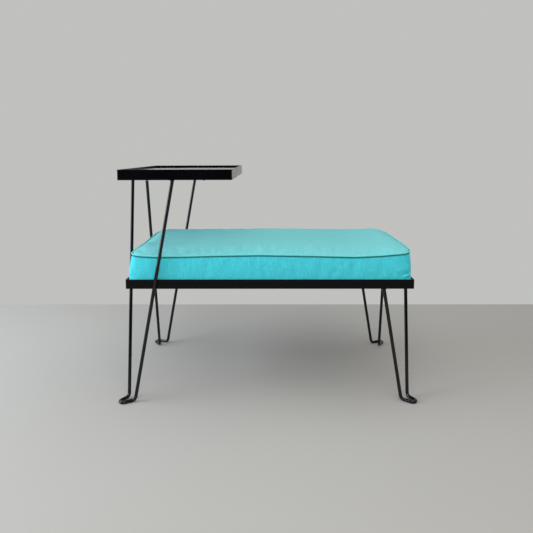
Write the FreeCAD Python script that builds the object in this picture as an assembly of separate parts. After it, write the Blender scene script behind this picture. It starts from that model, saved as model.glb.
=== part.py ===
# Telephone bench: a steel rod and angle bench with a drop-in seat pad and a small side table.
# Millimetres, +Z up, floor at z = 0. +X points to the open end of the seat, -Y to the front.
# The origin lies on the floor under the middle of the whole bench's outline.
import FreeCAD, Part
import math
import os

V = FreeCAD.Vector

# Seat frame: four lengths of steel angle, mitred, with the flat leg turned in at the bottom.
seat_w = 787.4
seat_d = 457.2
seat_top_z = 346.0
seat_rail_h = 25.4
seat_flange_w = 25.4
seat_steel_t = 3.2
seat_corner_r = 4.0

# Table frame: the same construction, a little taller, carried by the two left legs.
table_w = 304.8
table_top_z = 645.5
table_rim_h = 28.0
table_flange_w = 25.4
table_steel_t = 3.2
table_corner_r = 3.0

# Table panel: a wooden board with a thin glossy sheet on it, laid in the frame.
table_board_t = 19.0
table_sheet_t = 1.0
table_panel_gap = 1.0
table_panel_corner_r = 1.0

# Legs: each is one steel rod, bent to a hairpin with a toe that lies flat on the floor.
rod_d = 9.525
toe_r = 9.5
toe_reach = 36.0
bend_r = 11.8
# How far each rod stands from the frame's corner: along the side and along the front or back,
# at the floor and at the top of the seat frame.
leg_offsets = {
    "leg_front_left": {"side": (17.0, 83.0), "end": (17.0, 84.0)},
    "leg_back_left": {"side": (24.0, 95.5), "end": (17.0, 82.0)},
    "leg_front_right": {"side": (23.0, 83.0), "end": (26.0, 86.0)},
    "leg_back_right": {"side": (29.5, 90.0), "end": (26.5, 85.0)},
}

# Seat pad: plywood, foam and a sewn cover that is turned under the board and stapled.
pad_gap = 1.5
pad_rest_gap = 0.3
pad_board_t = 12.7
pad_board_gap = 0.3
cover_t = 1.5
cover_hem_w = 34.0
seam_rise = 63.0
crown_rise = 23.0
crown_reach = 150.0
crown_steps = 6
crown_corner_share = 0.12
pad_corner_r = 20.0
pad_hidden_corner_r = 6.0
side_draw_in_share = 0.0065
side_runs = 4
welt_d = 3.0
welt_gap = 0.05
welt_sides = 8
dust_cover_t = 0.6
dust_cover_gap = 2.0
staple_w = 10.0
staple_leg = 8.0
staple_wire = 0.8
staple_inset = 28.0
staple_pitch = 64.0

# Values that follow from the ones above.
rod_r = rod_d / 2
seat_bottom_z = seat_top_z - seat_rail_h
seat_flange_top_z = seat_bottom_z + seat_steel_t
table_d = seat_d + 2 * rod_d
table_bottom_z = table_top_z - table_rim_h
table_flange_top_z = table_bottom_z + table_steel_t
table_sheet_z = table_flange_top_z + table_board_t
table_x = table_w / 2 - seat_w / 2 - rod_d
hem_z = seat_flange_top_z + pad_rest_gap
pad_board_z = hem_z + cover_t
pad_board_top_z = pad_board_z + pad_board_t
seam_z = seat_top_z + seam_rise
pad_half_w = seat_w / 2 - seat_steel_t - pad_gap
pad_half_d = seat_d / 2 - seat_steel_t - pad_gap
dust_cover_z = hem_z - dust_cover_t


def rounded_slab(width, depth, radius, z, height, x=0.0):
    """A flat block with rounded upright corners, centred on x and on y = 0."""
    block = Part.makeBox(width, depth, height, V(x - width / 2, -depth / 2, z))
    if radius <= 0:
        return block
    upright = [e for e in block.Edges if abs(e.Vertexes[0].Z - e.Vertexes[-1].Z) > height / 2]
    return block.makeFillet(radius, upright)


def angle_frame(width, depth, height, flange, steel, radius, z, x=0.0):
    """Four mitred lengths of steel angle round a rectangle, by the side that each lies on."""
    ring = rounded_slab(width, depth, radius, z, height, x)
    well = rounded_slab(width - 2 * steel, depth - 2 * steel, 0, z + steel, height, x)
    hole = rounded_slab(width - 2 * flange, depth - 2 * flange, 0, z - steel, height, x)
    ring = ring.cut(well).cut(hole)
    out = height
    deep = flange + steel
    lengths = {}
    for side, turn in (("front", 0), ("right", 90), ("back", 180), ("left", 270)):
        half_l, half_t = (width / 2, depth / 2) if turn % 180 == 0 else (depth / 2, width / 2)
        wedge = Part.makePolygon([
            V(-half_l - out, -half_t - out, z - steel),
            V(half_l + out, -half_t - out, z - steel),
            V(half_l - deep, -half_t + deep, z - steel),
            V(-half_l + deep, -half_t + deep, z - steel),
            V(-half_l - out, -half_t - out, z - steel),
        ])
        wedge = Part.Face(wedge).extrude(V(0, 0, height + 2 * steel))
        wedge.rotate(V(0, 0, 0), V(0, 0, 1), turn)
        wedge.translate(V(x, 0, 0))
        lengths[side] = ring.common(wedge)
    return lengths


def bend(before, corner, after, radius):
    """Start, middle and end of the arc that rounds a corner between two straight runs."""
    a = (before - corner).normalize()
    b = (after - corner).normalize()
    half = a.getAngle(b) / 2
    middle = (a + b).normalize()
    run = radius / math.tan(half)
    return (corner + a * run,
            corner + middle * (radius / math.sin(half) - radius),
            corner + b * run)


def leg_route(name, top_z):
    """The points along a leg's centre line, from the side rod's top round the toe."""
    left = name.endswith("left")
    sx = -1 if left else 1
    sy = -1 if "front" in name else 1
    plane = rod_r if left else -rod_r
    offsets = leg_offsets[name]

    def side_point(z):
        low, high = offsets["side"]
        off = low + (high - low) * z / seat_top_z
        return V(sx * (seat_w / 2 + plane), sy * (seat_d / 2 - off), z)

    def end_point(z):
        low, high = offsets["end"]
        off = low + (high - low) * z / seat_top_z
        return V(sx * (seat_w / 2 - off), sy * (seat_d / 2 + plane), z)

    heel_a = side_point(rod_r)
    heel_b = end_point(rod_r)
    middle = (heel_a + heel_b) * 0.5
    across = (heel_b - heel_a).normalize()
    outward = V(across.y, -across.x, 0).normalize()
    if outward.dot(middle) < 0:
        outward = outward * -1
    half = (heel_b - heel_a).Length / 2
    to_toe = toe_reach - toe_r
    line_angle = math.atan2(half, to_toe) - math.asin(toe_r / math.hypot(half, to_toe))
    toe_centre = middle + outward * to_toe
    side_way = outward * math.sin(line_angle) + across * math.cos(line_angle)
    other_way = outward * math.sin(line_angle) - across * math.cos(line_angle)
    toe = (toe_centre + other_way * toe_r, middle + outward * toe_reach, toe_centre + side_way * toe_r)
    over = top_z + rod_d
    heel_bend = bend(side_point(over), heel_a, toe[0], bend_r)
    end_bend = bend(toe[2], heel_b, end_point(over), bend_r)
    return side_point(over), heel_bend, toe, end_bend, end_point(over)


def leg(name):
    """One bent rod, its two ends cut level under the frame that it is welded to.

    Its bends are splines on the tall legs and plain arcs on the short ones, as each meshes lighter so.
    """
    tall = name.endswith("left")
    top_z = table_bottom_z if tall else seat_bottom_z
    start, heel_bend, toe, end_bend, end = leg_route(name, top_z)
    path = []
    last = start
    for arc in (heel_bend, toe, end_bend):
        path.append(Part.LineSegment(last, arc[0]).toShape())
        bent = Part.Arc(*arc)
        path.append(bent.toBSpline().toShape() if tall else bent.toShape())
        last = arc[2]
    path.append(Part.LineSegment(last, end).toShape())
    section = Part.Wire([Part.Circle(start, heel_bend[0] - start, rod_r).toShape()])
    rod = Part.Wire(path).makePipeShell([section], True, False)
    below = Part.makeBox(4 * seat_w, 4 * seat_d, top_z + rod_d, V(-2 * seat_w, -2 * seat_d, -rod_d))
    return rod.common(below)


def toe_limits():
    """The lowest and highest x and y that the four toes and the table reach."""
    xs = [table_x - table_w / 2]
    ys = [-table_d / 2, table_d / 2]
    for name in leg_offsets:
        toe = leg_route(name, seat_top_z)[2]
        centre = Part.Arc(*toe).toShape().Curve.Center
        for way in (-1, 1):
            xs.append(centre.x + way * (toe_r + rod_r))
            ys.append(centre.y + way * (toe_r + rod_r))
    return min(xs), max(xs), min(ys), max(ys)


def pad_outline(z, inset, radius):
    """A closed line with four round corners, its sides drawn in between them in short runs."""
    half_w = pad_half_w - inset
    half_d = pad_half_d - inset
    lean = math.atan(2 * side_draw_in_share * (1 - 1 / side_runs))
    arcs = []
    for i, (sx, sy) in enumerate([(1, -1), (1, 1), (-1, 1), (-1, -1)]):
        centre = V(sx * (half_w - radius), sy * (half_d - radius), z)
        on_long = centre + V(-sx * math.sin(lean), sy * math.cos(lean), 0) * radius
        on_short = centre + V(sx * math.cos(lean), -sy * math.sin(lean), 0) * radius
        tip = centre + V(sx, sy, 0).normalize() * radius
        first, second = (on_long, on_short) if i % 2 == 0 else (on_short, on_long)
        arcs.append((first, tip, second))
    edges = []
    for i, arc in enumerate(arcs):
        edges.append(Part.Arc(*arc).toShape())
        side = arcs[(i + 1) % 4][0] - arc[2]
        inward = V(-side.y, side.x, 0) * (2 * side_draw_in_share)
        last = arc[2]
        for run in range(1, side_runs + 1):
            share = run / side_runs
            point = arc[2] + side * share + inward * (share * (1 - share))
            edges.append(Part.LineSegment(last, point).toShape())
            last = point
    return Part.Wire(edges)


def stack(outlines, ring=False):
    """A solid whose sides run straight from each outline to the next one."""
    faces = [] if ring else [Part.Face(outlines[0]), Part.Face(outlines[-1])]
    uppers = outlines[1:] + outlines[:1] if ring else outlines[1:]
    for lower, upper in zip(outlines, uppers):
        for a, b in zip(lower.Edges, upper.Edges):
            if isinstance(a.Curve, Part.Line):
                corners = [a.valueAt(a.FirstParameter), a.valueAt(a.LastParameter),
                           b.valueAt(b.LastParameter), b.valueAt(b.FirstParameter)]
                faces.append(Part.Face(Part.makePolygon(corners + corners[:1])))
            else:
                faces.append(Part.makeRuledSurface(a, b))
    shell = Part.makeShell(faces)
    shell.sewShape()
    solid = Part.makeSolid(shell)
    if solid.Volume < 0:
        solid.reverse()
    return solid


def upright_pad(inset, z, top_z):
    """The pad's outline, set in all round, carried straight up from one height to another."""
    radius = max(pad_corner_r - inset, pad_hidden_corner_r)
    return Part.Face(pad_outline(z, inset, radius)).extrude(V(0, 0, top_z - z))


def crown(inset):
    """The pad's crowned top: a quarter ellipse in from the seam, under its skin by inset."""
    outlines = []
    for step in range(crown_steps + 1):
        turn = math.pi / 2 * step / crown_steps
        drawn = crown_reach * (1 - math.cos(turn))
        z = seam_z + (crown_rise - inset) * math.sin(turn)
        outlines.append(pad_outline(z, inset + drawn, pad_corner_r - inset + drawn * crown_corner_share))
    return stack(outlines)


def cover_boxing():
    """The cover's upright sides, with the hem turned in under the board."""
    shell = upright_pad(0, hem_z, seam_z).cut(upright_pad(cover_t, pad_board_z, seam_z))
    return shell.cut(upright_pad(cover_hem_w, hem_z, pad_board_z))


def cover_top_panel():
    return crown(0).cut(crown(cover_t))


def cover_welt():
    """A thin cord along the seam, standing against the outside of the cover."""
    outlines = []
    for i in range(welt_sides):
        turn = 2 * math.pi * i / welt_sides
        reach = (1 + math.cos(turn)) * welt_d / 2 + welt_gap
        outlines.append(pad_outline(seam_z + math.sin(turn) * welt_d / 2, -reach, pad_corner_r + reach))
    return stack(outlines, True)


def seat_foam():
    """The foam block: upright sides from the board to the seam, then the crown."""
    return upright_pad(cover_t, pad_board_top_z, seam_z).fuse(crown(cover_t)).removeSplitter()


def dust_cover():
    inset = seat_flange_w - seat_steel_t - pad_gap + dust_cover_gap
    return upright_pad(inset, dust_cover_z, hem_z)


def staple(x, y, turn):
    """A staple driven up through the dust cover and the hem into the board."""
    crown_z = dust_cover_z - staple_wire
    bar = Part.makeBox(staple_w, staple_wire, staple_wire, V(-staple_w / 2, -staple_wire / 2, crown_z))
    for way in (-1, 1):
        x0 = way * (staple_w - staple_wire) / 2 - staple_wire / 2
        bar = bar.fuse(Part.makeBox(staple_wire, staple_wire, staple_leg, V(x0, -staple_wire / 2, crown_z)))
    bar = bar.removeSplitter()
    bar.rotate(V(0, 0, 0), V(0, 0, 1), turn)
    bar.translate(V(x, y, 0))
    return bar


def seat_staples():
    """Staples at an even pitch along the four sides of the dust cover."""
    row_y = pad_half_d - staple_inset
    row_x = pad_half_w - staple_inset
    staples = []
    for run, fixed, turn in ((row_x, row_y, 0), (row_y, row_x, 90)):
        count = max(2, round(2 * run / staple_pitch))
        for i in range(count):
            along = -run + 2 * run * (i + 0.5) / count
            for way in (-1, 1):
                x, y = (along, way * fixed) if turn == 0 else (way * fixed, along)
                staples.append(staple(x, y, turn))
    return Part.makeCompound(staples)


def make_nodes():
    nodes = {}
    seat = angle_frame(seat_w, seat_d, seat_rail_h, seat_flange_w, seat_steel_t, seat_corner_r, seat_bottom_z)
    for side, length in seat.items():
        nodes["seat_rail_" + side] = length
    for name in leg_offsets:
        nodes[name] = leg(name)

    table = angle_frame(table_w, table_d, table_rim_h, table_flange_w, table_steel_t, table_corner_r,
                        table_bottom_z, table_x)
    for side, length in table.items():
        nodes["table_rim_" + side] = length
    panel_w = table_w - 2 * (table_steel_t + table_panel_gap)
    panel_d = table_d - 2 * (table_steel_t + table_panel_gap)
    nodes["table_board"] = rounded_slab(panel_w, panel_d, table_panel_corner_r, table_flange_top_z,
                                        table_board_t, table_x)
    nodes["table_sheet"] = rounded_slab(panel_w, panel_d, table_panel_corner_r, table_sheet_z,
                                        table_sheet_t, table_x)

    nodes["seat_board"] = upright_pad(cover_t + pad_board_gap, pad_board_z, pad_board_top_z)
    nodes["seat_foam"] = seat_foam()
    nodes["cover_top_panel"] = cover_top_panel()
    nodes["cover_boxing"] = cover_boxing()
    nodes["cover_welt"] = cover_welt()
    nodes["seat_dust_cover"] = dust_cover()
    nodes["seat_staples"] = seat_staples()
    return nodes


def main():
    os.makedirs("parts", exist_ok=True)
    x_low, x_high, y_low, y_high = toe_limits()
    to_origin = V(-(x_low + x_high) / 2, -(y_low + y_high) / 2, 0)
    print("seat centre at x %.2f y %.2f" % (to_origin.x, to_origin.y))
    for name, shape in make_nodes().items():
        shape.translate(to_origin)
        box = shape.optimalBoundingBox()
        print("%-18s solids %2d volume %11.1f valid %s x %.1f %.1f y %.1f %.1f z %.1f %.1f" % (
            name, len(shape.Solids), shape.Volume, shape.isValid(),
            box.XMin, box.XMax, box.YMin, box.YMax, box.ZMin, box.ZMax))
        shape.exportStep("parts/%s.step" % name)


main()
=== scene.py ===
import math
import bmesh
import bpy
import numpy as np
from mathutils import Matrix, Vector


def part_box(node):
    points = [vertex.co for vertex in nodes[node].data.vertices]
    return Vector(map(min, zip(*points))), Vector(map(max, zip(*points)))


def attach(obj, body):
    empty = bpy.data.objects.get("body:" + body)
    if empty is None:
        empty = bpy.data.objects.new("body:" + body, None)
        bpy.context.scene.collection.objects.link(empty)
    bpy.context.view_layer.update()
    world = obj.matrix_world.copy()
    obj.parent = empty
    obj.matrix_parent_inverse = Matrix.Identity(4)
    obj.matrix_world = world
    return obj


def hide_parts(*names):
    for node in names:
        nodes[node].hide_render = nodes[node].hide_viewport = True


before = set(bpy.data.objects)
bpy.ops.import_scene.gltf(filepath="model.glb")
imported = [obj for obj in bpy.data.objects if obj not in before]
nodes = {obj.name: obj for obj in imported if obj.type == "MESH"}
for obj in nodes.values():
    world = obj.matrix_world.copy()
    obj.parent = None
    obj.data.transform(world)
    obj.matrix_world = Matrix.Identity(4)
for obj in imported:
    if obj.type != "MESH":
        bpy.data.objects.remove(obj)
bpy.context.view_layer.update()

# Places that the CAD gives, in metres.
rail_lo, rail_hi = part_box("seat_rail_front")
side_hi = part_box("seat_rail_right")[1]
back_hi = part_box("seat_rail_back")[1]
left_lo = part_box("seat_rail_left")[0]
boxing_lo, boxing_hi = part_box("cover_boxing")
MID_X = (left_lo.x + side_hi.x) / 2
MID_Y = (rail_lo.y + back_hi.y) / 2
SEAT_HALF_W = (side_hi.x - left_lo.x) / 2
RAIL_TOP = rail_hi.z
RAIL_LOW = rail_lo.z
# The legs are 3/8 in rod.
ROD_R = 0.0047625


# Mesh and node helpers.

def new_object(name, data):
    thing = bpy.data.objects.new(name, data)
    bpy.context.scene.collection.objects.link(thing)
    return thing


def shade_smooth(thing):
    thing.data.polygons.foreach_set("use_smooth", [True] * len(thing.data.polygons))


def new_mesh(name, points, faces):
    mesh = bpy.data.meshes.new(name)
    mesh.from_pydata([tuple(p) for p in points], [], faces)
    mesh.update()
    return new_object(name, mesh)


def points_of(thing):
    co = np.zeros(len(thing.data.vertices) * 3)
    thing.data.vertices.foreach_get("co", co)
    return co.reshape(-1, 3)


def set_points(thing, points):
    thing.data.vertices.foreach_set("co", np.asarray(points, float).ravel())
    thing.data.update()


class Tree:
    """A node tree with short ways to add and link nodes."""

    def __init__(self, tree):
        self.tree = tree

    def add(self, kind, settings=None, **inputs):
        """A new node. An input goes by its label, with _ for a space, or by its number, as i0."""
        node = self.tree.nodes.new(kind)
        for key, value in (settings or {}).items():
            setattr(node, key, value)
        for key, value in inputs.items():
            self.put(node.inputs[int(key[1:])] if key[0] == "i" and key[1:].isdigit()
                     else node.inputs[key.replace("_", " ")], value)
        return node

    def put(self, socket, value):
        if isinstance(value, bpy.types.NodeSocket):
            self.tree.links.new(value, socket)
        elif isinstance(value, (tuple, list)) and len(value) == 3 and socket.type == "RGBA":
            socket.default_value = (*value, 1)
        else:
            socket.default_value = value

    def math(self, operation, a, b=0.0, c=0.0):
        return self.add("ShaderNodeMath", {"operation": operation}, i0=a, i1=b, i2=c).outputs[0]

    def spot(self):
        """The place on the object that is being shaded."""
        return self.add("ShaderNodeTexCoord").outputs["Object"]

    def noise(self, vector, scale, detail=2.0, rough=0.5, distort=0.0):
        return self.add("ShaderNodeTexNoise", None, Vector=vector, Scale=scale, Detail=detail,
                        Roughness=rough, Distortion=distort).outputs["Fac"]

    def span(self, value, low, high, to_low=0.0, to_high=1.0):
        """A value's place between low and high, as one between to_low and to_high."""
        node = self.add("ShaderNodeMapRange", {"clamp": True}, Value=value)
        for socket, number in zip(node.inputs[1:5], (low, high, to_low, to_high)):
            self.put(socket, number)
        return node.outputs[0]

    def mix(self, factor, a, b):
        node = self.add("ShaderNodeMix", {"data_type": "RGBA"})
        self.put(node.inputs[0], factor)
        self.put(node.inputs[6], a)
        self.put(node.inputs[7], b)
        return node.outputs[2]

    def stretch(self, vector, x, y, z):
        return self.add("ShaderNodeMapping", None, Vector=vector, Scale=(x, y, z)).outputs[0]


def group(name, inputs, outputs):
    """A new node group: its tree, and the sockets of its inputs and of its outputs."""
    tree = bpy.data.node_groups.new(name, "ShaderNodeTree")
    for label, kind in inputs:
        tree.interface.new_socket(label, in_out="INPUT", socket_type=kind)
    for label, kind in outputs:
        tree.interface.new_socket(label, in_out="OUTPUT", socket_type=kind)
    made = Tree(tree)
    start = tree.nodes.new("NodeGroupInput")
    end = tree.nodes.new("NodeGroupOutput")
    return made, start.outputs, end.inputs


def material(name, base, roughness):
    """A material, its tree and its Principled shader."""
    made = bpy.data.materials.new(name)
    made.use_nodes = True
    made.diffuse_color = (*base, 1)
    tree = Tree(made.node_tree)
    shader = made.node_tree.nodes["Principled BSDF"]
    tree.put(shader.inputs["Base Color"], base)
    tree.put(shader.inputs["Roughness"], roughness)
    return made, tree, shader


def use_group(tree, kit, **inputs):
    node = tree.add("ShaderNodeGroup")
    node.node_tree = kit.tree
    for key, value in inputs.items():
        tree.put(node.inputs[key.replace("_", " ")], value)
    return node.outputs


# Shared groups.

def weave_group():
    """A plain weave: the threads' height, the uneven streaks along warp and weft, and fine flecks."""
    kit, start, end = group("plain_weave",
                            [("Vector", "NodeSocketVector"), ("Threads", "NodeSocketFloat")],
                            [("Height", "NodeSocketFloat"), ("Slub", "NodeSocketFloat"),
                             ("Fleck", "NodeSocketFloat")])
    parts = kit.add("ShaderNodeSeparateXYZ", None, i0=start[0])
    waves = []
    for axis in (0, 1):
        wobble = kit.math("MULTIPLY_ADD", kit.noise(start[0], 60.0, 1.0), 0.0009, parts.outputs[axis])
        waves.append(kit.math("SINE", kit.math("MULTIPLY", kit.math("MULTIPLY", wobble, start[1]), math.pi)))
    over = kit.math("MULTIPLY", waves[0], waves[1])
    ridge = kit.math("SUBTRACT", kit.math("ABSOLUTE", waves[0]), kit.math("ABSOLUTE", waves[1]))
    height = kit.math("MULTIPLY_ADD", kit.math("MULTIPLY", over, ridge), 0.5, 0.5)
    warp = kit.noise(kit.stretch(start[0], 520.0, 22.0, 22.0), 1.0, 3.0, 0.55)
    weft = kit.noise(kit.stretch(start[0], 22.0, 520.0, 22.0), 1.0, 3.0, 0.55)
    slub = kit.math("MULTIPLY", kit.math("ADD", warp, weft), 0.5)
    fleck = kit.noise(start[0], 900.0, 2.0, 0.6)
    kit.put(end[0], height)
    kit.put(end[1], slub)
    kit.put(end[2], fleck)
    return kit


def soft_edge_group():
    """A normal with softened edges and a fine uneven coat, and masks of the coat and the worn edges."""
    kit, start, end = group("painted_edges",
                            [("Radius", "NodeSocketFloat"), ("Bump", "NodeSocketFloat")],
                            [("Normal", "NodeSocketVector"), ("Coat", "NodeSocketFloat"),
                             ("Edge", "NodeSocketFloat")])
    spot = kit.spot()
    rounded = kit.add("ShaderNodeBevel", {"samples": 6}, Radius=start[0])
    coat = kit.noise(spot, 210.0, 3.0, 0.6)
    fine = kit.noise(spot, 1400.0, 2.0, 0.5)
    height = kit.math("MULTIPLY_ADD", fine, 0.25, coat)
    bump = kit.add("ShaderNodeBump", None, Strength=start[1], Distance=0.0006, Height=height,
                   Normal=rounded.outputs[0])
    wide = kit.add("ShaderNodeBevel", {"samples": 6}, Radius=kit.math("MULTIPLY", start[0], 1.6))
    own = kit.add("ShaderNodeNewGeometry").outputs["Normal"]
    turn = kit.add("ShaderNodeVectorMath", {"operation": "DOT_PRODUCT"}, i0=wide.outputs[0], i1=own)
    edge = kit.span(turn.outputs["Value"], 0.99, 0.80)
    kit.put(end[0], bump.outputs[0])
    kit.put(end[1], kit.noise(spot, 9.0, 3.0, 0.6))
    kit.put(end[2], kit.math("MULTIPLY", edge, kit.span(kit.noise(spot, 70.0, 3.0, 0.7), 0.50, 0.68)))
    return kit


weave = weave_group()
painted_edges = soft_edge_group()


# Materials.

BLACK = (0.0012, 0.0016, 0.0020)
WORN_BLACK = (0.04, 0.04, 0.042)
THREADS_PER_M = 1150.0


def black_paint():
    """Black paint on the angle, a little uneven and worn thin on its sharp edges."""
    made, tree, shader = material("black_paint", BLACK, 0.2)
    look = use_group(tree, painted_edges, Radius=0.0009, Bump=0.06)
    tree.put(shader.inputs["Normal"], look["Normal"])
    tree.put(shader.inputs["Roughness"], tree.span(look["Coat"], 0.3, 0.7, 0.13, 0.24))
    worn = tree.mix(tree.math("MULTIPLY", look["Edge"], 0.5), BLACK, WORN_BLACK)
    tree.put(shader.inputs["Base Color"], worn)
    tree.put(shader.inputs["Specular IOR Level"], 0.14)
    return made


def rod_paint():
    """The same paint on the drawn rods, smoother and glossier."""
    made, tree, shader = material("black_paint_rods", BLACK, 0.1)
    spot = tree.spot()
    coat = tree.noise(spot, 14.0, 3.0, 0.6)
    tree.put(shader.inputs["Roughness"], tree.span(coat, 0.3, 0.7, 0.08, 0.14))
    tree.put(shader.inputs["Specular IOR Level"], 0.42)
    return made


def gloss_sheet():
    """The table's polished top, with faint wear in its shine."""
    made, tree, shader = material("black_gloss_sheet", (0.006, 0.0065, 0.007), 0.06)
    spot = tree.spot()
    wear = tree.noise(spot, 24.0, 4.0, 0.65)
    fine = tree.noise(tree.stretch(spot, 900.0, 60.0, 60.0), 1.0, 2.0, 0.5)
    tree.put(shader.inputs["Roughness"], tree.span(wear, 0.35, 0.75, 0.035, 0.11))
    bump = tree.add("ShaderNodeBump", None, Strength=0.02, Distance=0.0003, Height=fine)
    tree.put(shader.inputs["Normal"], bump.outputs[0])
    return made


def cloth(name, dark, light, pale, streaks, sheen, seam_shade=None):
    """Woven cover cloth: a dark and a light thread, slubs, and a pale fuzz at grazing angles.

    The last argument gives the depth from the seam, near and far, over which painted shade darkens the cloth
    beside the welt and its stitches.
    """
    made, tree, shader = material(name, light, 0.9)
    spot = tree.add("ShaderNodeUVMap", {"uv_map": "cloth"}).outputs[0]
    look = use_group(tree, weave, Vector=spot, Threads=THREADS_PER_M)
    tone = tree.math("MULTIPLY_ADD", tree.span(look["Slub"], 0.32, 0.68), 0.75,
                     tree.math("MULTIPLY", look["Fleck"], 0.3))
    colour = tree.mix(tree.span(tone, 0.15, 0.9), dark, light)
    colour = tree.mix(tree.math("MULTIPLY", tree.span(look["Height"], 0.55, 0.9), 0.35), colour, pale)
    mottle = tree.noise(tree.stretch(spot, *streaks), 1.0, 4.0, 0.6)
    colour = tree.mix(tree.span(mottle, 0.36, 0.66, 0.0, 0.30), colour, tuple(0.62 * c for c in dark))
    # Painted shade: a dark line in the cloth beside the welt, where the welt's shadow and the seam's crease
    # fall.
    if seam_shade:
        depth = tree.add("ShaderNodeAttribute", {"attribute_name": "seam_depth"}).outputs["Fac"]
        uneven = tree.math("MULTIPLY_ADD", tree.noise(spot, 160.0, 2.0), 0.0012, depth)
        near = tree.span(uneven, seam_shade[0], seam_shade[1], 1.0, 0.0)
        shade = tuple(0.2 * c for c in dark)
        colour = tree.mix(tree.math("MULTIPLY", near, 0.92), colour, shade)
    tree.put(shader.inputs["Base Color"], colour)
    bump = tree.add("ShaderNodeBump", None, Strength=0.35, Distance=0.0004, Height=look["Height"])
    slow = tree.add("ShaderNodeBump", None, Strength=0.18, Distance=0.0008, Height=look["Slub"],
                    Normal=bump.outputs[0])
    tree.put(shader.inputs["Normal"], slow.outputs[0])
    tree.put(shader.inputs["Specular IOR Level"], 0.2)
    tree.put(shader.inputs["Sheen Weight"], sheen)
    tree.put(shader.inputs["Sheen Roughness"], 0.45)
    tree.put(shader.inputs["Sheen Tint"], pale)
    return made


def plywood():
    """Raw plywood: grain on its faces and dark plies on its edges."""
    made, tree, shader = material("plywood", (0.30, 0.19, 0.10), 0.7)
    spot = tree.spot()
    grain = tree.noise(tree.stretch(spot, 4.0, 90.0, 90.0), 1.0, 5.0, 0.6, 0.6)
    plies = tree.math("SINE", tree.math("MULTIPLY", tree.add(
        "ShaderNodeSeparateXYZ", None, i0=spot).outputs[2], 2200.0))
    colour = tree.mix(tree.span(grain, 0.3, 0.7), (0.20, 0.12, 0.06), (0.42, 0.28, 0.15))
    face = tree.math("ABSOLUTE", tree.add("ShaderNodeSeparateXYZ", None, i0=tree.add(
        "ShaderNodeNewGeometry").outputs["Normal"]).outputs[2])
    edge = tree.math("MULTIPLY", tree.span(plies, 0.0, 0.6, 0.0, 0.5), tree.span(face, 0.5, 0.2))
    tree.put(shader.inputs["Base Color"], tree.mix(edge, colour, (0.12, 0.07, 0.035)))
    bump = tree.add("ShaderNodeBump", None, Strength=0.2, Distance=0.0003, Height=grain)
    tree.put(shader.inputs["Normal"], bump.outputs[0])
    return made


def dust_cloth():
    """The thin black cloth under the pad, which sags a little between its staples."""
    made, tree, shader = material("dust_cloth", (0.012, 0.012, 0.013), 0.95)
    spot = tree.spot()
    fibre = tree.noise(tree.stretch(spot, 900.0, 900.0, 50.0), 1.0, 4.0, 0.7, 1.2)
    sag = tree.noise(spot, 7.0, 2.0)
    tree.put(shader.inputs["Base Color"], tree.mix(tree.span(fibre, 0.35, 0.7),
                                                   (0.006, 0.006, 0.007), (0.03, 0.03, 0.032)))
    bump = tree.add("ShaderNodeBump", None, Strength=0.5, Distance=0.0005, Height=fibre)
    slow = tree.add("ShaderNodeBump", None, Strength=0.4, Distance=0.004, Height=sag,
                    Normal=bump.outputs[0])
    tree.put(shader.inputs["Normal"], slow.outputs[0])
    return made


def zinc():
    """Dull zinc on the staples and screws."""
    made, tree, shader = material("zinc_steel", (0.52, 0.53, 0.54), 0.4)
    spot = tree.spot()
    bloom = tree.noise(spot, 600.0, 3.0, 0.6)
    tree.put(shader.inputs["Metallic"], 1.0)
    tree.put(shader.inputs["Roughness"], tree.span(bloom, 0.3, 0.7, 0.3, 0.55))
    tree.put(shader.inputs["Base Color"], tree.mix(bloom, (0.38, 0.38, 0.39), (0.62, 0.62, 0.63)))
    return made


PAINT = black_paint()
ROD_PAINT = rod_paint()
SHEET = gloss_sheet()
# One cloth covers the whole pad, drawn here in three colours: the top's greyer, paler colour is painted
# sheen, for the grazing view onto it, and the welt's lighter colour is painted light from above. The
# boxing's stronger teal is the cloth seen face on.
TOP_CLOTH_PAINTED_SHEEN = cloth("top_cloth_painted_sheen", dark=(0.138, 0.51, 0.515), light=(0.218, 0.655, 0.65),
                  pale=(0.33, 0.75, 0.73), streaks=(55.0, 300.0, 100.0), sheen=0.35,
                  seam_shade=(0.0026, 0.0050))
SIDE_CLOTH = cloth("boxing_cloth", dark=(0.045, 0.53, 0.61), light=(0.086, 0.70, 0.77),
                   pale=(0.19, 0.80, 0.83), streaks=(300.0, 70.0, 100.0), sheen=0.15,
                   seam_shade=(0.0042, 0.0074))
WELT_CLOTH_PAINTED_LIGHT = cloth("welt_cloth_painted_light", dark=(0.125, 0.60, 0.58), light=(0.19, 0.76, 0.72),
                   pale=(0.30, 0.82, 0.78), streaks=(300.0, 70.0, 100.0), sheen=0.2)
PLY = plywood()
DUST = dust_cloth()
ZINC = zinc()


def paint(thing, look):
    thing.data.materials.clear()
    thing.data.materials.append(look)


CAD_LOOKS = {"table_sheet": SHEET, "table_board": PLY, "seat_board": PLY, "seat_dust_cover": DUST,
             "seat_staples": ZINC}
for name, thing in nodes.items():
    if name.startswith("leg_"):
        paint(thing, ROD_PAINT)
    elif name.startswith(("seat_rail", "table_rim")):
        paint(thing, PAINT)
    elif name in CAD_LOOKS:
        paint(thing, CAD_LOOKS[name])


# The seat pad: a closed shell of cloth over foam. These values draw its form, and a cloth
# simulation then eases it by a few millimetres at most. First its half width, half depth and foot.
PAD_W = (boxing_hi.x - boxing_lo.x) / 2
PAD_D = (boxing_hi.y - boxing_lo.y) / 2
PAD_LOW = boxing_lo.z
# The side of a cell of the shell, the rows of cells in its wall and the cut height of the boxing.
CELL = 0.0085
WALL_ROWS = 10
BOXING_H = 0.085
# Corner radii seen from above, at the seam and at the foot.
SEAM_CORNER_R = 0.030
FOOT_CORNER_R = 0.016
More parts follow.
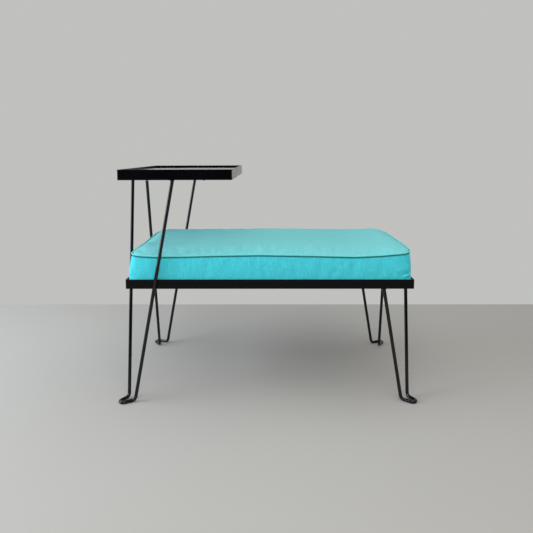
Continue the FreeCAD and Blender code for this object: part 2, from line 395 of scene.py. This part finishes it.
# How far the seam leans in at either end and how far in the lean reaches, how far the seam is drawn
# in along the front and back, and how far the foot is drawn in at the left end.
LEFT_LEAN = 0.0085
RIGHT_LEAN = 0.0030
LEAN_REACH = 0.080
FRONT_BACK_IN = 0.0018
LEFT_FOOT_IN = 0.0016
# The top's rounded edge, its rise and its reach inwards, and the low dome over the whole top.
EDGE_RISE = 0.0078
EDGE_REACH = 0.040
DOME_RISE = 0.0062
DOME_POWER = 0.8
# How the boxing swells out below the seam: 1 is a straight wall, and more swells sooner.
BULGE_SHARE = 2.6
# The welt's radius and sides, how far it stands out and up from the seam, how far its cloth runs
# from side to side, and how far the seam lies above the heights in SEAM_Z.
WELT_R = 0.0021
WELT_SIDES = 10
WELT_OUT = 0.0009
WELT_UP = 0.0004
WELT_CLOTH_STEP = 0.0012
WELT_LIFT = 0.0030
# Points of the wall up to this height above the rail's top are held still by the frame.
HELD_ABOVE_RAIL = 0.002
# Where a piece is closed, its skirt ends at these shares of its half width and half depth, and the
# top's lid lies at this height.
SKIRT_W_SHARE = 0.97
SKIRT_D_SHARE = 0.95
SEAM_LID_Z = 0.400
# Along the front the top panel's distance from the seam is counted this much further, so that no painted
# shade shows above the welt there.
FRONT_SHADE_SKIP = 0.005
# The seam's height along each side, from its left or front end: a slow wave with lifted corners.
SEAM_Z = {
    "front": ((-0.389, 0.4100), (-0.371, 0.4095), (-0.340, 0.4075), (-0.306, 0.4058), (-0.243, 0.4066),
              (-0.135, 0.4092), (-0.026, 0.4108), (0.125, 0.4080), (0.230, 0.4052), (0.305, 0.4085),
              (0.354, 0.4130), (0.389, 0.4155)),
    "back": ((-0.389, 0.4105), (-0.300, 0.4080), (0.0, 0.4100), (0.300, 0.4080), (0.389, 0.4105)),
    "left": ((-0.222, 0.4100), (-0.187, 0.4118), (-0.151, 0.4140), (-0.049, 0.4130), (0.047, 0.4157),
             (0.139, 0.4185), (0.190, 0.4150), (0.222, 0.4105)),
    "right": ((-0.222, 0.4155), (-0.189, 0.4187), (-0.125, 0.4205), (-0.007, 0.4205), (0.130, 0.4190),
              (0.180, 0.4160), (0.222, 0.4105)),
}


def along_seam(side, place):
    table = np.array(SEAM_Z[side])
    return np.interp(place, table[:, 0], table[:, 1])


def seam_height(x, y):
    """A patch through the seam's four sides, in the pad's own centred frame."""
    u = np.clip(x / PAD_W, -1, 1) * 0.5 + 0.5
    v = np.clip(y / PAD_D, -1, 1) * 0.5 + 0.5
    front = along_seam("front", x)
    back = along_seam("back", x)
    left = along_seam("left", y)
    right = along_seam("right", y)
    low = along_seam("front", -PAD_W) * (1 - u) + along_seam("front", PAD_W) * u
    high = along_seam("back", -PAD_W) * (1 - u) + along_seam("back", PAD_W) * u
    return front * (1 - v) + back * v + left * (1 - u) + right * u - low * (1 - v) - high * v


def round_corners(x, y, half_w, half_d, radius):
    """Points of a plain rectangle moved so that its corners become round."""
    a = np.clip((np.abs(x) - (half_w - radius)) / radius, 0, 1)
    b = np.clip((np.abs(y) - (half_d - radius)) / radius, 0, 1)
    both = (a > 0) & (b > 0)
    reach = np.maximum(a, b) / np.maximum(np.hypot(a, b), 1e-9)
    x = np.where(both, np.sign(x) * (half_w - radius + a * reach * radius), x)
    y = np.where(both, np.sign(y) * (half_d - radius + b * reach * radius), y)
    return x, y


def pad_shell():
    """The shell's points, faces and cloth coordinates, and what tells its parts from each other.

    The seam and the wall's rows are lists of point numbers. The counts say where the top's faces
    end and where the sides' faces end.
    """
    nx = int(round(2 * PAD_W / CELL))
    ny = int(round(2 * PAD_D / CELL))
    gx, gy = np.meshgrid(np.linspace(-1, 1, nx + 1), np.linspace(-1, 1, ny + 1), indexing="ij")
    number = np.arange((nx + 1) * (ny + 1)).reshape(nx + 1, ny + 1)
    x = gx.ravel() * PAD_W
    y = gy.ravel() * PAD_D
    plan_x, plan_y = round_corners(x, y, PAD_W, PAD_D, SEAM_CORNER_R)
    lean = np.interp(plan_x, (-PAD_W, -PAD_W + LEAN_REACH, PAD_W - LEAN_REACH, PAD_W),
                     (LEFT_LEAN, 0, 0, -RIGHT_LEAN))
    plan_x = plan_x + lean
    plan_y = plan_y * (1 - FRONT_BACK_IN / PAD_D)
    edge = 1.0
    for away in (PAD_W - np.abs(x), PAD_D - np.abs(y)):
        edge = edge * np.sqrt(1 - (1 - np.clip(away / EDGE_REACH, 0, 1)) ** 2)
    dome = (1 - gx.ravel() ** 2) * (1 - gy.ravel() ** 2)
    z = seam_height(plan_x, plan_y) + WELT_LIFT + EDGE_RISE * edge + DOME_RISE * dome ** DOME_POWER
    top = np.stack([plan_x, plan_y, z], 1)
    faces = []
    uvs = []
    for i in range(nx):
        for j in range(ny):
            corner = [(i, j), (i + 1, j), (i + 1, j + 1), (i, j + 1)]
            faces.append([number[c] for c in corner])
            uvs.append([(gx[c] * PAD_W, gy[c] * PAD_D) for c in corner])
    top_faces = len(faces)
    ring = ([(i, 0) for i in range(nx)] + [(nx, j) for j in range(ny)]
            + [(i, ny) for i in range(nx, 0, -1)] + [(0, j) for j in range(ny, 0, -1)])
    seam = [int(number[c]) for c in ring]
    seam_xyz = top[seam]
    step = np.linalg.norm(np.roll(seam_xyz, -1, 0) - seam_xyz, axis=1)
    along = np.concatenate([[0], np.cumsum(step)])
    ring_x = np.array([gx[c] for c in ring]) * PAD_W
    ring_y = np.array([gy[c] for c in ring]) * PAD_D
    foot_x, foot_y = round_corners(ring_x, ring_y, PAD_W, PAD_D, FOOT_CORNER_R)
    foot_x = np.maximum(foot_x, -PAD_W + LEFT_FOOT_IN)
    points = [top]
    loops = [seam]
    base = len(top)
    for row in range(1, WALL_ROWS + 1):
        share = row / WALL_ROWS
        ease = 1 - (1 - share) ** BULGE_SHARE
        px = seam_xyz[:, 0] * (1 - ease) + foot_x * ease
        py = seam_xyz[:, 1] * (1 - ease) + foot_y * ease
        pz = seam_xyz[:, 2] * (1 - share) + PAD_LOW * share
        points.append(np.stack([px, py, pz], 1))
        loops.append(list(range(base, base + len(seam))))
        base += len(seam)
    n = len(seam)
    for row in range(WALL_ROWS):
        for k in range(n):
            nxt = (k + 1) % n
            faces.append([loops[row][nxt], loops[row][k], loops[row + 1][k], loops[row + 1][nxt]])
            v0 = row / WALL_ROWS * BOXING_H
            v1 = (row + 1) / WALL_ROWS * BOXING_H
            uvs.append([(along[k + 1], -v0), (along[k], -v0), (along[k], -v1), (along[k + 1], -v1)])
    side_faces = len(faces)
    faces.append(list(loops[-1]))
    uvs.append([(0.0, 0.0)] * n)
    return np.concatenate(points), faces, uvs, seam, loops, top_faces, side_faces


def simulate(thing, pins, pressure, frames, cap, shrink):
    """Cloth blown from inside, then applied, with no point moved further than the cap."""
    before = points_of(thing)
    hold = thing.vertex_groups.new(name="hold")
    for k, weight in enumerate(pins):
        if weight > 0:
            hold.add([k], float(weight), "REPLACE")
    cloth_mod = thing.modifiers.new("cloth", "CLOTH")
    settings = cloth_mod.settings
    settings.quality = 4
    settings.mass = 0.25
    settings.tension_stiffness = 18
    settings.compression_stiffness = 18
    settings.shear_stiffness = 8
    settings.bending_stiffness = 0.6
    settings.use_pressure = True
    settings.uniform_pressure_force = pressure
    settings.shrink_min = shrink
    settings.vertex_group_mass = "hold"
    settings.effector_weights.gravity = 0
    cloth_mod.collision_settings.use_collision = False
    cloth_mod.point_cache.frame_start = 1
    cloth_mod.point_cache.frame_end = frames
    scene = bpy.context.scene
    for number in range(1, frames + 1):
        scene.frame_set(number)
    shown = thing.evaluated_get(bpy.context.evaluated_depsgraph_get())
    after = np.zeros(len(before) * 3)
    shown.data.vertices.foreach_get("co", after)
    moved = after.reshape(-1, 3) - before
    length = np.linalg.norm(moved, axis=1, keepdims=True)
    moved = moved * np.minimum(1, cap / np.maximum(length, 1e-9))
    thing.modifiers.remove(cloth_mod)
    thing.vertex_groups.remove(hold)
    set_points(thing, before + moved)
    scene.frame_set(1)
    print("cloth: %d points, moved %.1f mm at most, top %.1f mm" % (
        len(before), 1000 * length.max(), 1000 * (before + moved)[:, 2].max()))


def subdivide(thing, levels):
    """A finer mesh of a piece, with its open edges kept in place."""
    mod = thing.modifiers.new("finer", "SUBSURF")
    mod.levels = mod.render_levels = levels
    mod.boundary_smooth = "PRESERVE_CORNERS"
    shown = thing.evaluated_get(bpy.context.evaluated_depsgraph_get())
    mesh = bpy.data.meshes.new_from_object(shown)
    thing.modifiers.remove(mod)
    thing.data = mesh


def make_pad():
    points, faces, uvs, seam, loops, top_faces, side_faces = pad_shell()
    shell = new_mesh("pad_shell", points, faces)
    pins = np.zeros(len(points))
    pins[seam] = 1.0
    for loop in loops[1:]:
        pins[loop] = np.where(points[loop][:, 2] < RAIL_TOP + HELD_ABOVE_RAIL, 1.0, 0.0)
    simulate(shell, pins, pressure=2.0, frames=20, cap=0.003, shrink=-0.006)
    settled = points_of(shell)
    bpy.data.objects.remove(shell)
    return settled, faces, uvs, seam, loops, top_faces, side_faces


def wrinkle(points, towards, ridges):
    """Adds soft ridges and creases: each is a line from a to b with a width and a height."""
    out = points.copy()
    for a, b, width, height in ridges:
        a = np.array(a)
        b = np.array(b)
        run = b - a
        t = np.clip(((points - a) @ run) / (run @ run), 0, 1)
        away = np.linalg.norm(points - (a + t[:, None] * run), axis=1)
        # A ridge starts at two thirds of its height, soon reaches it and fades out at its end.
        fade = np.sin(np.pi * np.clip(t * 0.85 + 0.15, 0, 1)) ** 0.5
        out = out + towards * (height * fade * np.exp(-(away / width) ** 2))[:, None]
    return out


def part_of_shell(name, points, faces, uvs, depth=None):
    """A piece from some of the shell's faces, with its cloth coordinates and its points' seam depth."""
    used = sorted(set(k for face in faces for k in face))
    number = {k: i for i, k in enumerate(used)}
    piece = new_mesh(name, points[used], [[number[k] for k in face] for face in faces])
    layer = piece.data.uv_layers.new(name="cloth")
    layer.data.foreach_set("uv", [value for face in uvs for uv in face for value in uv])
    if depth is not None:
        store = piece.data.attributes.new("seam_depth", "FLOAT", "POINT")
        store.data.foreach_set("value", depth[used])
    return piece


def close_up(piece):
    """Closes the open edges: a short skirt inwards, then a flat lid below the seam or at the foot."""
    shape = bmesh.new()
    shape.from_mesh(piece.data)
    rims = [edge for edge in shape.edges if edge.is_boundary]
    made = bmesh.ops.extrude_edge_only(shape, edges=rims)["geom"]
    for point in [item for item in made if isinstance(item, bmesh.types.BMVert)]:
        point.co.x = MID_X + (point.co.x - MID_X) * SKIRT_W_SHARE
        point.co.y = MID_Y + (point.co.y - MID_Y) * SKIRT_D_SHARE
        point.co.z = min(point.co.z, SEAM_LID_Z)
    edges = [item for item in made if isinstance(item, bmesh.types.BMEdge)]
    bmesh.ops.holes_fill(shape, edges=edges, sides=0)
    bmesh.ops.recalc_face_normals(shape, faces=shape.faces)
    shape.to_mesh(piece.data)
    shape.free()


shell_points, shell_faces, shell_uvs, seam_loop, wall_loops, top_count, side_count = make_pad()
centre = np.array([MID_X, MID_Y, 0.0])
# Each point's distance from the seam, over the top panel and down the boxing, which sets where the cloth's
# painted shade beside the welt lies.
seam_depth = np.zeros(len(shell_points))
for face, face_uvs in zip(shell_faces[:top_count], shell_uvs[:top_count]):
    for k, (u, v) in zip(face, face_uvs):
        seam_depth[k] = min(PAD_W - abs(u), PAD_D - v, PAD_D + v + FRONT_SHADE_SKIP)
wall_depth = np.zeros(len(shell_points))
for loop in wall_loops[1:]:
    wall_depth[loop] = shell_points[seam_loop][:, 2] - shell_points[loop][:, 2]
top_piece = part_of_shell("pad_top", shell_points + centre, shell_faces[:top_count],
                          shell_uvs[:top_count], seam_depth)
side_piece = part_of_shell("pad_boxing", shell_points + centre, shell_faces[top_count:side_count],
                           shell_uvs[top_count:side_count], wall_depth)
# Pull wrinkles low on the boxing's front, four at its right end and a faint one at its left: from,
# to, width and height.
FRONT_Y = -0.2224
WRINKLES = (((0.369, FRONT_Y, 0.3600), (0.393, FRONT_Y, 0.3695), 0.0024, -0.0062),
            ((0.366, FRONT_Y, 0.3525), (0.391, FRONT_Y, 0.3625), 0.0040, 0.0030),
            ((0.372, FRONT_Y, 0.3490), (0.391, FRONT_Y, 0.3540), 0.0022, -0.0022),
            ((0.345, FRONT_Y, 0.3690), (0.388, FRONT_Y, 0.3790), 0.0060, 0.0014),
            ((-0.385, FRONT_Y, 0.3560), (-0.362, FRONT_Y, 0.3520), 0.0040, -0.0012))
for piece in (top_piece, side_piece):
    subdivide(piece, 2)
    if piece == side_piece:
        set_points(piece, wrinkle(points_of(piece) - centre, np.array([0, -1.0, 0]), WRINKLES) + centre)
    close_up(piece)
    shade_smooth(piece)
paint(top_piece, TOP_CLOTH_PAINTED_SHEEN)
paint(side_piece, SIDE_CLOTH)


def welt_tube():
    """A thin covered cord that lies in the seam, all the way round."""
    line = shell_points[seam_loop] + centre
    n = len(line)
    tangent = np.roll(line, -1, 0) - np.roll(line, 1, 0)
    tangent /= np.linalg.norm(tangent, axis=1, keepdims=True)
    outward = np.cross(tangent, (0, 0, 1))
    outward /= np.linalg.norm(outward, axis=1, keepdims=True)
    upward = np.cross(outward, tangent)
    middle = line + outward * WELT_OUT + upward * WELT_UP
    points = []
    for i in range(WELT_SIDES):
        turn = 2 * math.pi * i / WELT_SIDES
        points.append(middle + (outward * math.cos(turn) + upward * math.sin(turn)) * WELT_R)
    points = np.stack(points, 1).reshape(-1, 3)
    along = np.concatenate([[0], np.cumsum(np.linalg.norm(np.roll(line, -1, 0) - line, axis=1))])
    faces = []
    uvs = []
    for k in range(n):
        this_ring = k * WELT_SIDES
        next_ring = (k + 1) % n * WELT_SIDES
        for i in range(WELT_SIDES):
            j = (i + 1) % WELT_SIDES
            faces.append([this_ring + i, next_ring + i, next_ring + j, this_ring + j])
            v0 = i * WELT_CLOTH_STEP
            v1 = (i + 1) * WELT_CLOTH_STEP
            uvs.append([(along[k], v0), (along[k + 1], v0), (along[k + 1], v1), (along[k], v1)])
    piece = part_of_shell("pad_welt", points, faces, uvs)
    subdivide(piece, 1)
    shade_smooth(piece)
    paint(piece, WELT_CLOTH_PAINTED_LIGHT)
    return piece


welt_piece = welt_tube()
for piece, slot, stands_for in ((top_piece, "top_fabric", ("cover_top_panel", "seat_foam")),
                                (side_piece, "boxing_fabric", ("cover_boxing",)),
                                (welt_piece, "welt_fabric", ("cover_welt",))):
    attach(piece, "seat_pad")
    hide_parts(*stands_for)


# Weld beads where the rods meet the angle frames, and screw heads under the table.

# A ring bead lies round each rod's top: how far below the top the rod is cut to find its middle,
# how far above that cut the bead lies, how far out, and its radius.
TOP_CUT = 0.004
TOP_BEAD_UP = 0.0032
TOP_BEAD_OUT = 0.0004
TOP_BEAD_R = 0.0011
# Two beads run up each rod that passes the seat rail: how far they stand off the rail's face, how
# far from the rod's middle as a share of its radius, how far they end from the rail's top and foot,
# and their radius.
RAIL_BEAD_OFF = 0.0008
RAIL_BEAD_SIDE_SHARE = 0.62
RAIL_BEAD_END = 0.003
RAIL_BEAD_R = 0.0015
BEAD_SIDES = 8
# A bead's ends are this share of its thickness, and its lumps range between these shares.
BEAD_END_SHARE = 0.35
BEAD_LEAST = 0.85
BEAD_RANGE = 0.3
# A direction that lies along no bead.
ASKEW = (0.3, 0.2, 0.93)
# Screws stand in the middle of the rim's flat leg: their head's radius and flatness, how far it
# stands below the leg, the cross slot's place and size, and the turn from one screw to the next.
SCREW_IN = 0.0127
SCREW_R = 0.0036
SCREW_FLATNESS = 0.42
SCREW_DOWN = 0.0006
SLOT_DOWN = 0.0012
SLOT_SIZE = (0.0042, 0.0007, 0.0006)
SCREW_TURN = 0.7


def rods_at(name, z):
    """The centres of a leg's two rods at a height, from the edges of its mesh that cross it."""
    thing = nodes[name]
    corners = points_of(thing)
    corners = corners @ np.array(thing.matrix_world.to_3x3()).T + np.array(thing.matrix_world.translation)
    ends = np.zeros(len(thing.data.edges) * 2, dtype=int)
    thing.data.edges.foreach_get("vertices", ends)
    a = corners[ends[0::2]]
    b = corners[ends[1::2]]
    crossing = (a[:, 2] - z) * (b[:, 2] - z) < 0
    a = a[crossing]
    b = b[crossing]
    hits = a + (b - a) * ((z - a[:, 2]) / (b[:, 2] - a[:, 2]))[:, None]
    first = np.linalg.norm(hits - hits[0], axis=1) < 3 * ROD_R
    return [(ring.min(0) + ring.max(0)) / 2 for ring in (hits[first], hits[~first])]


def bead(points, faces, line, radius, rng):
    """A lumpy closed tube along a line, added to a mesh's points and faces."""
    base = len(points)
    n = len(line)
    for k, spot in enumerate(line):
        ahead = line[min(k + 1, n - 1)] - line[max(k - 1, 0)]
        ahead = ahead / np.linalg.norm(ahead)
        side = np.cross(ahead, ASKEW)
        side /= np.linalg.norm(side)
        other = np.cross(ahead, side)
        end = BEAD_END_SHARE if k in (0, n - 1) else 1.0
        for i in range(BEAD_SIDES):
            turn = 2 * math.pi * i / BEAD_SIDES
            reach = radius * end * (BEAD_LEAST + BEAD_RANGE * rng.random())
            points.append(spot + (side * math.cos(turn) + other * math.sin(turn)) * reach)
    for k in range(n - 1):
        this_ring = base + k * BEAD_SIDES
        next_ring = this_ring + BEAD_SIDES
        for i in range(BEAD_SIDES):
            j = (i + 1) % BEAD_SIDES
            faces.append([this_ring + i, this_ring + j, next_ring + j, next_ring + i])
    faces.append([base + i for i in range(BEAD_SIDES)][::-1])
    faces.append([base + (n - 1) * BEAD_SIDES + i for i in range(BEAD_SIDES)])


def weld_beads():
    """A bead round the top of every rod, and two up each rod that passes the seat rail."""
    rng = np.random.default_rng(7)
    points = []
    faces = []
    for name in nodes:
        if not name.startswith("leg_"):
            continue
        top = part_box(name)[1].z
        for rod in rods_at(name, top - TOP_CUT):
            reach = ROD_R + TOP_BEAD_OUT
            ring = [rod + np.array([math.cos(turn) * reach, math.sin(turn) * reach, TOP_BEAD_UP])
                    for turn in np.linspace(0, 2 * math.pi, 19)]
            bead(points, faces, ring, TOP_BEAD_R, rng)
        if top < RAIL_TOP:
            continue
        for rod in rods_at(name, (RAIL_LOW + RAIL_TOP) / 2):
            on_end = abs(rod[0] - MID_X) > SEAT_HALF_W
            along = np.array([0, 1, 0]) if on_end else np.array([1, 0, 0])
            across = np.array([1, 0, 0]) if on_end else np.array([0, 1, 0])
            inward = across * (ROD_R - RAIL_BEAD_OFF) * -np.sign((rod - centre) @ across)
            for way in (-1, 1):
                line = []
                for z in np.linspace(RAIL_LOW + RAIL_BEAD_END, RAIL_TOP - RAIL_BEAD_END, 9):
                    near = min(rods_at(name, z), key=lambda spot: np.linalg.norm(spot[:2] - rod[:2]))
                    line.append(near + inward + along * (way * ROD_R * RAIL_BEAD_SIDE_SHARE))
                bead(points, faces, line, RAIL_BEAD_R, rng)
    piece = new_mesh("weld_beads", points, faces)
    shade_smooth(piece)
    paint(piece, PAINT)
    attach(piece, "frame")


def screw_heads():
    """Pan heads of the eight screws that hold the table board from below."""
    lo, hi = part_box("table_rim_front")
    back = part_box("table_rim_back")[1]
    places = []
    for share in (0.25, 0.75):
        x = lo.x + (hi.x - lo.x) * share
        y = lo.y + (back.y - lo.y) * share
        places += [(x, lo.y + SCREW_IN), (x, back.y - SCREW_IN), (lo.x + SCREW_IN, y),
                   (hi.x - SCREW_IN, y)]
    shape = bmesh.new()
    for k, (x, y) in enumerate(places):
        spot = Matrix.Translation((x, y, lo.z - SCREW_DOWN))
        bmesh.ops.create_uvsphere(shape, u_segments=20, v_segments=10, radius=SCREW_R,
                                  matrix=spot @ Matrix.Diagonal((1, 1, SCREW_FLATNESS, 1)))
        for turn in (0, math.pi / 2):
            slot = spot @ Matrix.Rotation(SCREW_TURN * k + turn, 4, "Z")
            slot = slot @ Matrix.Translation((0, 0, -SLOT_DOWN)) @ Matrix.Diagonal((*SLOT_SIZE, 1))
            bmesh.ops.create_cube(shape, size=1.0, matrix=slot)
    mesh = bpy.data.meshes.new("screw_heads")
    shape.to_mesh(mesh)
    shape.free()
    piece = new_object("screw_heads", mesh)
    paint(piece, ZINC)
    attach(piece, "frame")


weld_beads()
screw_heads()


# Floor, light and camera.

FLOOR_COLOUR = (0.46, 0.43, 0.39)
# The floor's back edge, where the wall's grey begins, and its reach to the front and the sides.
FLOOR_BACK = 0.735
FLOOR_REACH = 7.0


def floor_finish():
    made, tree, shader = material("floor", FLOOR_COLOUR, 0.85)
    tone = tree.noise(tree.spot(), 1.2, 3.0, 0.5)
    dim = tuple(0.94 * c for c in FLOOR_COLOUR)
    tree.put(shader.inputs["Base Color"], tree.mix(tone, dim, FLOOR_COLOUR))
    tree.put(shader.inputs["Specular IOR Level"], 0.1)
    return made


floor = new_mesh("floor", [(-FLOOR_REACH, -FLOOR_REACH, 0), (FLOOR_REACH, -FLOOR_REACH, 0),
                           (FLOOR_REACH, FLOOR_BACK, 0), (-FLOOR_REACH, FLOOR_BACK, 0)], [[0, 1, 2, 3]])
paint(floor, floor_finish())

WALL_GREY = (0.53, 0.53, 0.515)
SKY_BLUE = (0.88, 0.94, 1.0)
SKY_STRENGTH = 0.47


def room_light():
    """A grey wall that the camera sees, and reflections too behind and to the left, and a blue sky."""
    world = bpy.data.worlds.new("room")
    bpy.context.scene.world = world
    world.use_nodes = True
    room = Tree(world.node_tree)
    background = world.node_tree.nodes["Background"]
    paths = room.add("ShaderNodeLightPath").outputs
    seen = room.math("MAXIMUM", paths["Is Camera Ray"], paths["Is Transmission Ray"])
    way = room.add("ShaderNodeSeparateXYZ", None, i0=room.add("ShaderNodeTexCoord").outputs["Generated"])
    behind = room.math("MAXIMUM", room.span(way.outputs["Y"], -0.25, 0.15, 0.08, 1.0),
                       room.span(way.outputs["X"], -0.35, -0.75, 0.0, 0.9))
    mirrored = room.math("MULTIPLY", paths["Is Glossy Ray"], behind)
    wall = room.math("MAXIMUM", seen, mirrored)
    wall_rays = room.math("MAXIMUM", seen, paths["Is Glossy Ray"])
    sky = room.math("MULTIPLY", room.math("SUBTRACT", 1.0, wall_rays), SKY_STRENGTH)
    room.put(background.inputs["Color"], room.mix(wall_rays, SKY_BLUE, WALL_GREY))
    room.put(background.inputs["Strength"], room.math("ADD", wall, sky))


def lamp(name, place, aim, size, power, colour):
    light = bpy.data.lights.new(name, "AREA")
    light.shape = "RECTANGLE"
    light.size, light.size_y = size
    light.energy = power
    light.color = colour
    thing = new_object(name, light)
    thing.location = place
    thing.rotation_mode = "QUATERNION"
    thing.rotation_quaternion = (Vector(aim) - Vector(place)).to_track_quat("-Z", "Y")


room_light()
lamp("overhead", place=(0.2, -0.5, 3.0), aim=(0, 0, 0.3), size=(4.6, 3.6), power=34,
     colour=(1.0, 0.98, 0.95))
lamp("window", place=(-2.5, -0.6, 1.2), aim=(0, 0, 0.4), size=(1.9, 2.0), power=76,
     colour=(0.72, 0.85, 1.0))
lamp("front", place=(0.3, -3.2, 2.6), aim=(0, 0, 0.35), size=(3.0, 1.4), power=53,
     colour=(1.0, 0.99, 0.97))

# The camera's place, aim and centre were fitted to the photograph. Its place is given from the
# middle of the seat frame, on the floor.
FOCAL_PX = 534.0
FRAME_PX = 533.0
CENTRE_ROW_PX = 218.556
SENSOR_MM = 36
PLACE_X, PLACE_Y, PLACE_Z = (0.007518, -1.649822, 0.687307)
PITCH, YAW, ROLL = (math.radians(angle) for angle in (6.969, -0.612, -0.178))
forward = Vector((math.sin(YAW) * math.cos(PITCH), math.cos(YAW) * math.cos(PITCH), -math.sin(PITCH)))
across = Vector((math.cos(YAW), -math.sin(YAW), 0))
upright = across.cross(forward)
right = across * math.cos(ROLL) + upright * math.sin(ROLL)
up = upright * math.cos(ROLL) - across * math.sin(ROLL)
lens = bpy.data.cameras.new("camera")
lens.sensor_width = SENSOR_MM
lens.lens = SENSOR_MM * FOCAL_PX / FRAME_PX
lens.shift_y = -(FRAME_PX / 2 - CENTRE_ROW_PX) / FRAME_PX
lens.clip_end = 60
camera = new_object("camera", lens)
camera.matrix_world = Matrix((
    (right.x, up.x, -forward.x, MID_X + PLACE_X),
    (right.y, up.y, -forward.y, MID_Y + PLACE_Y),
    (right.z, up.z, -forward.z, PLACE_Z),
    (0, 0, 0, 1)))
bpy.context.scene.camera = camera
bpy.context.scene.view_settings.view_transform = "Standard"
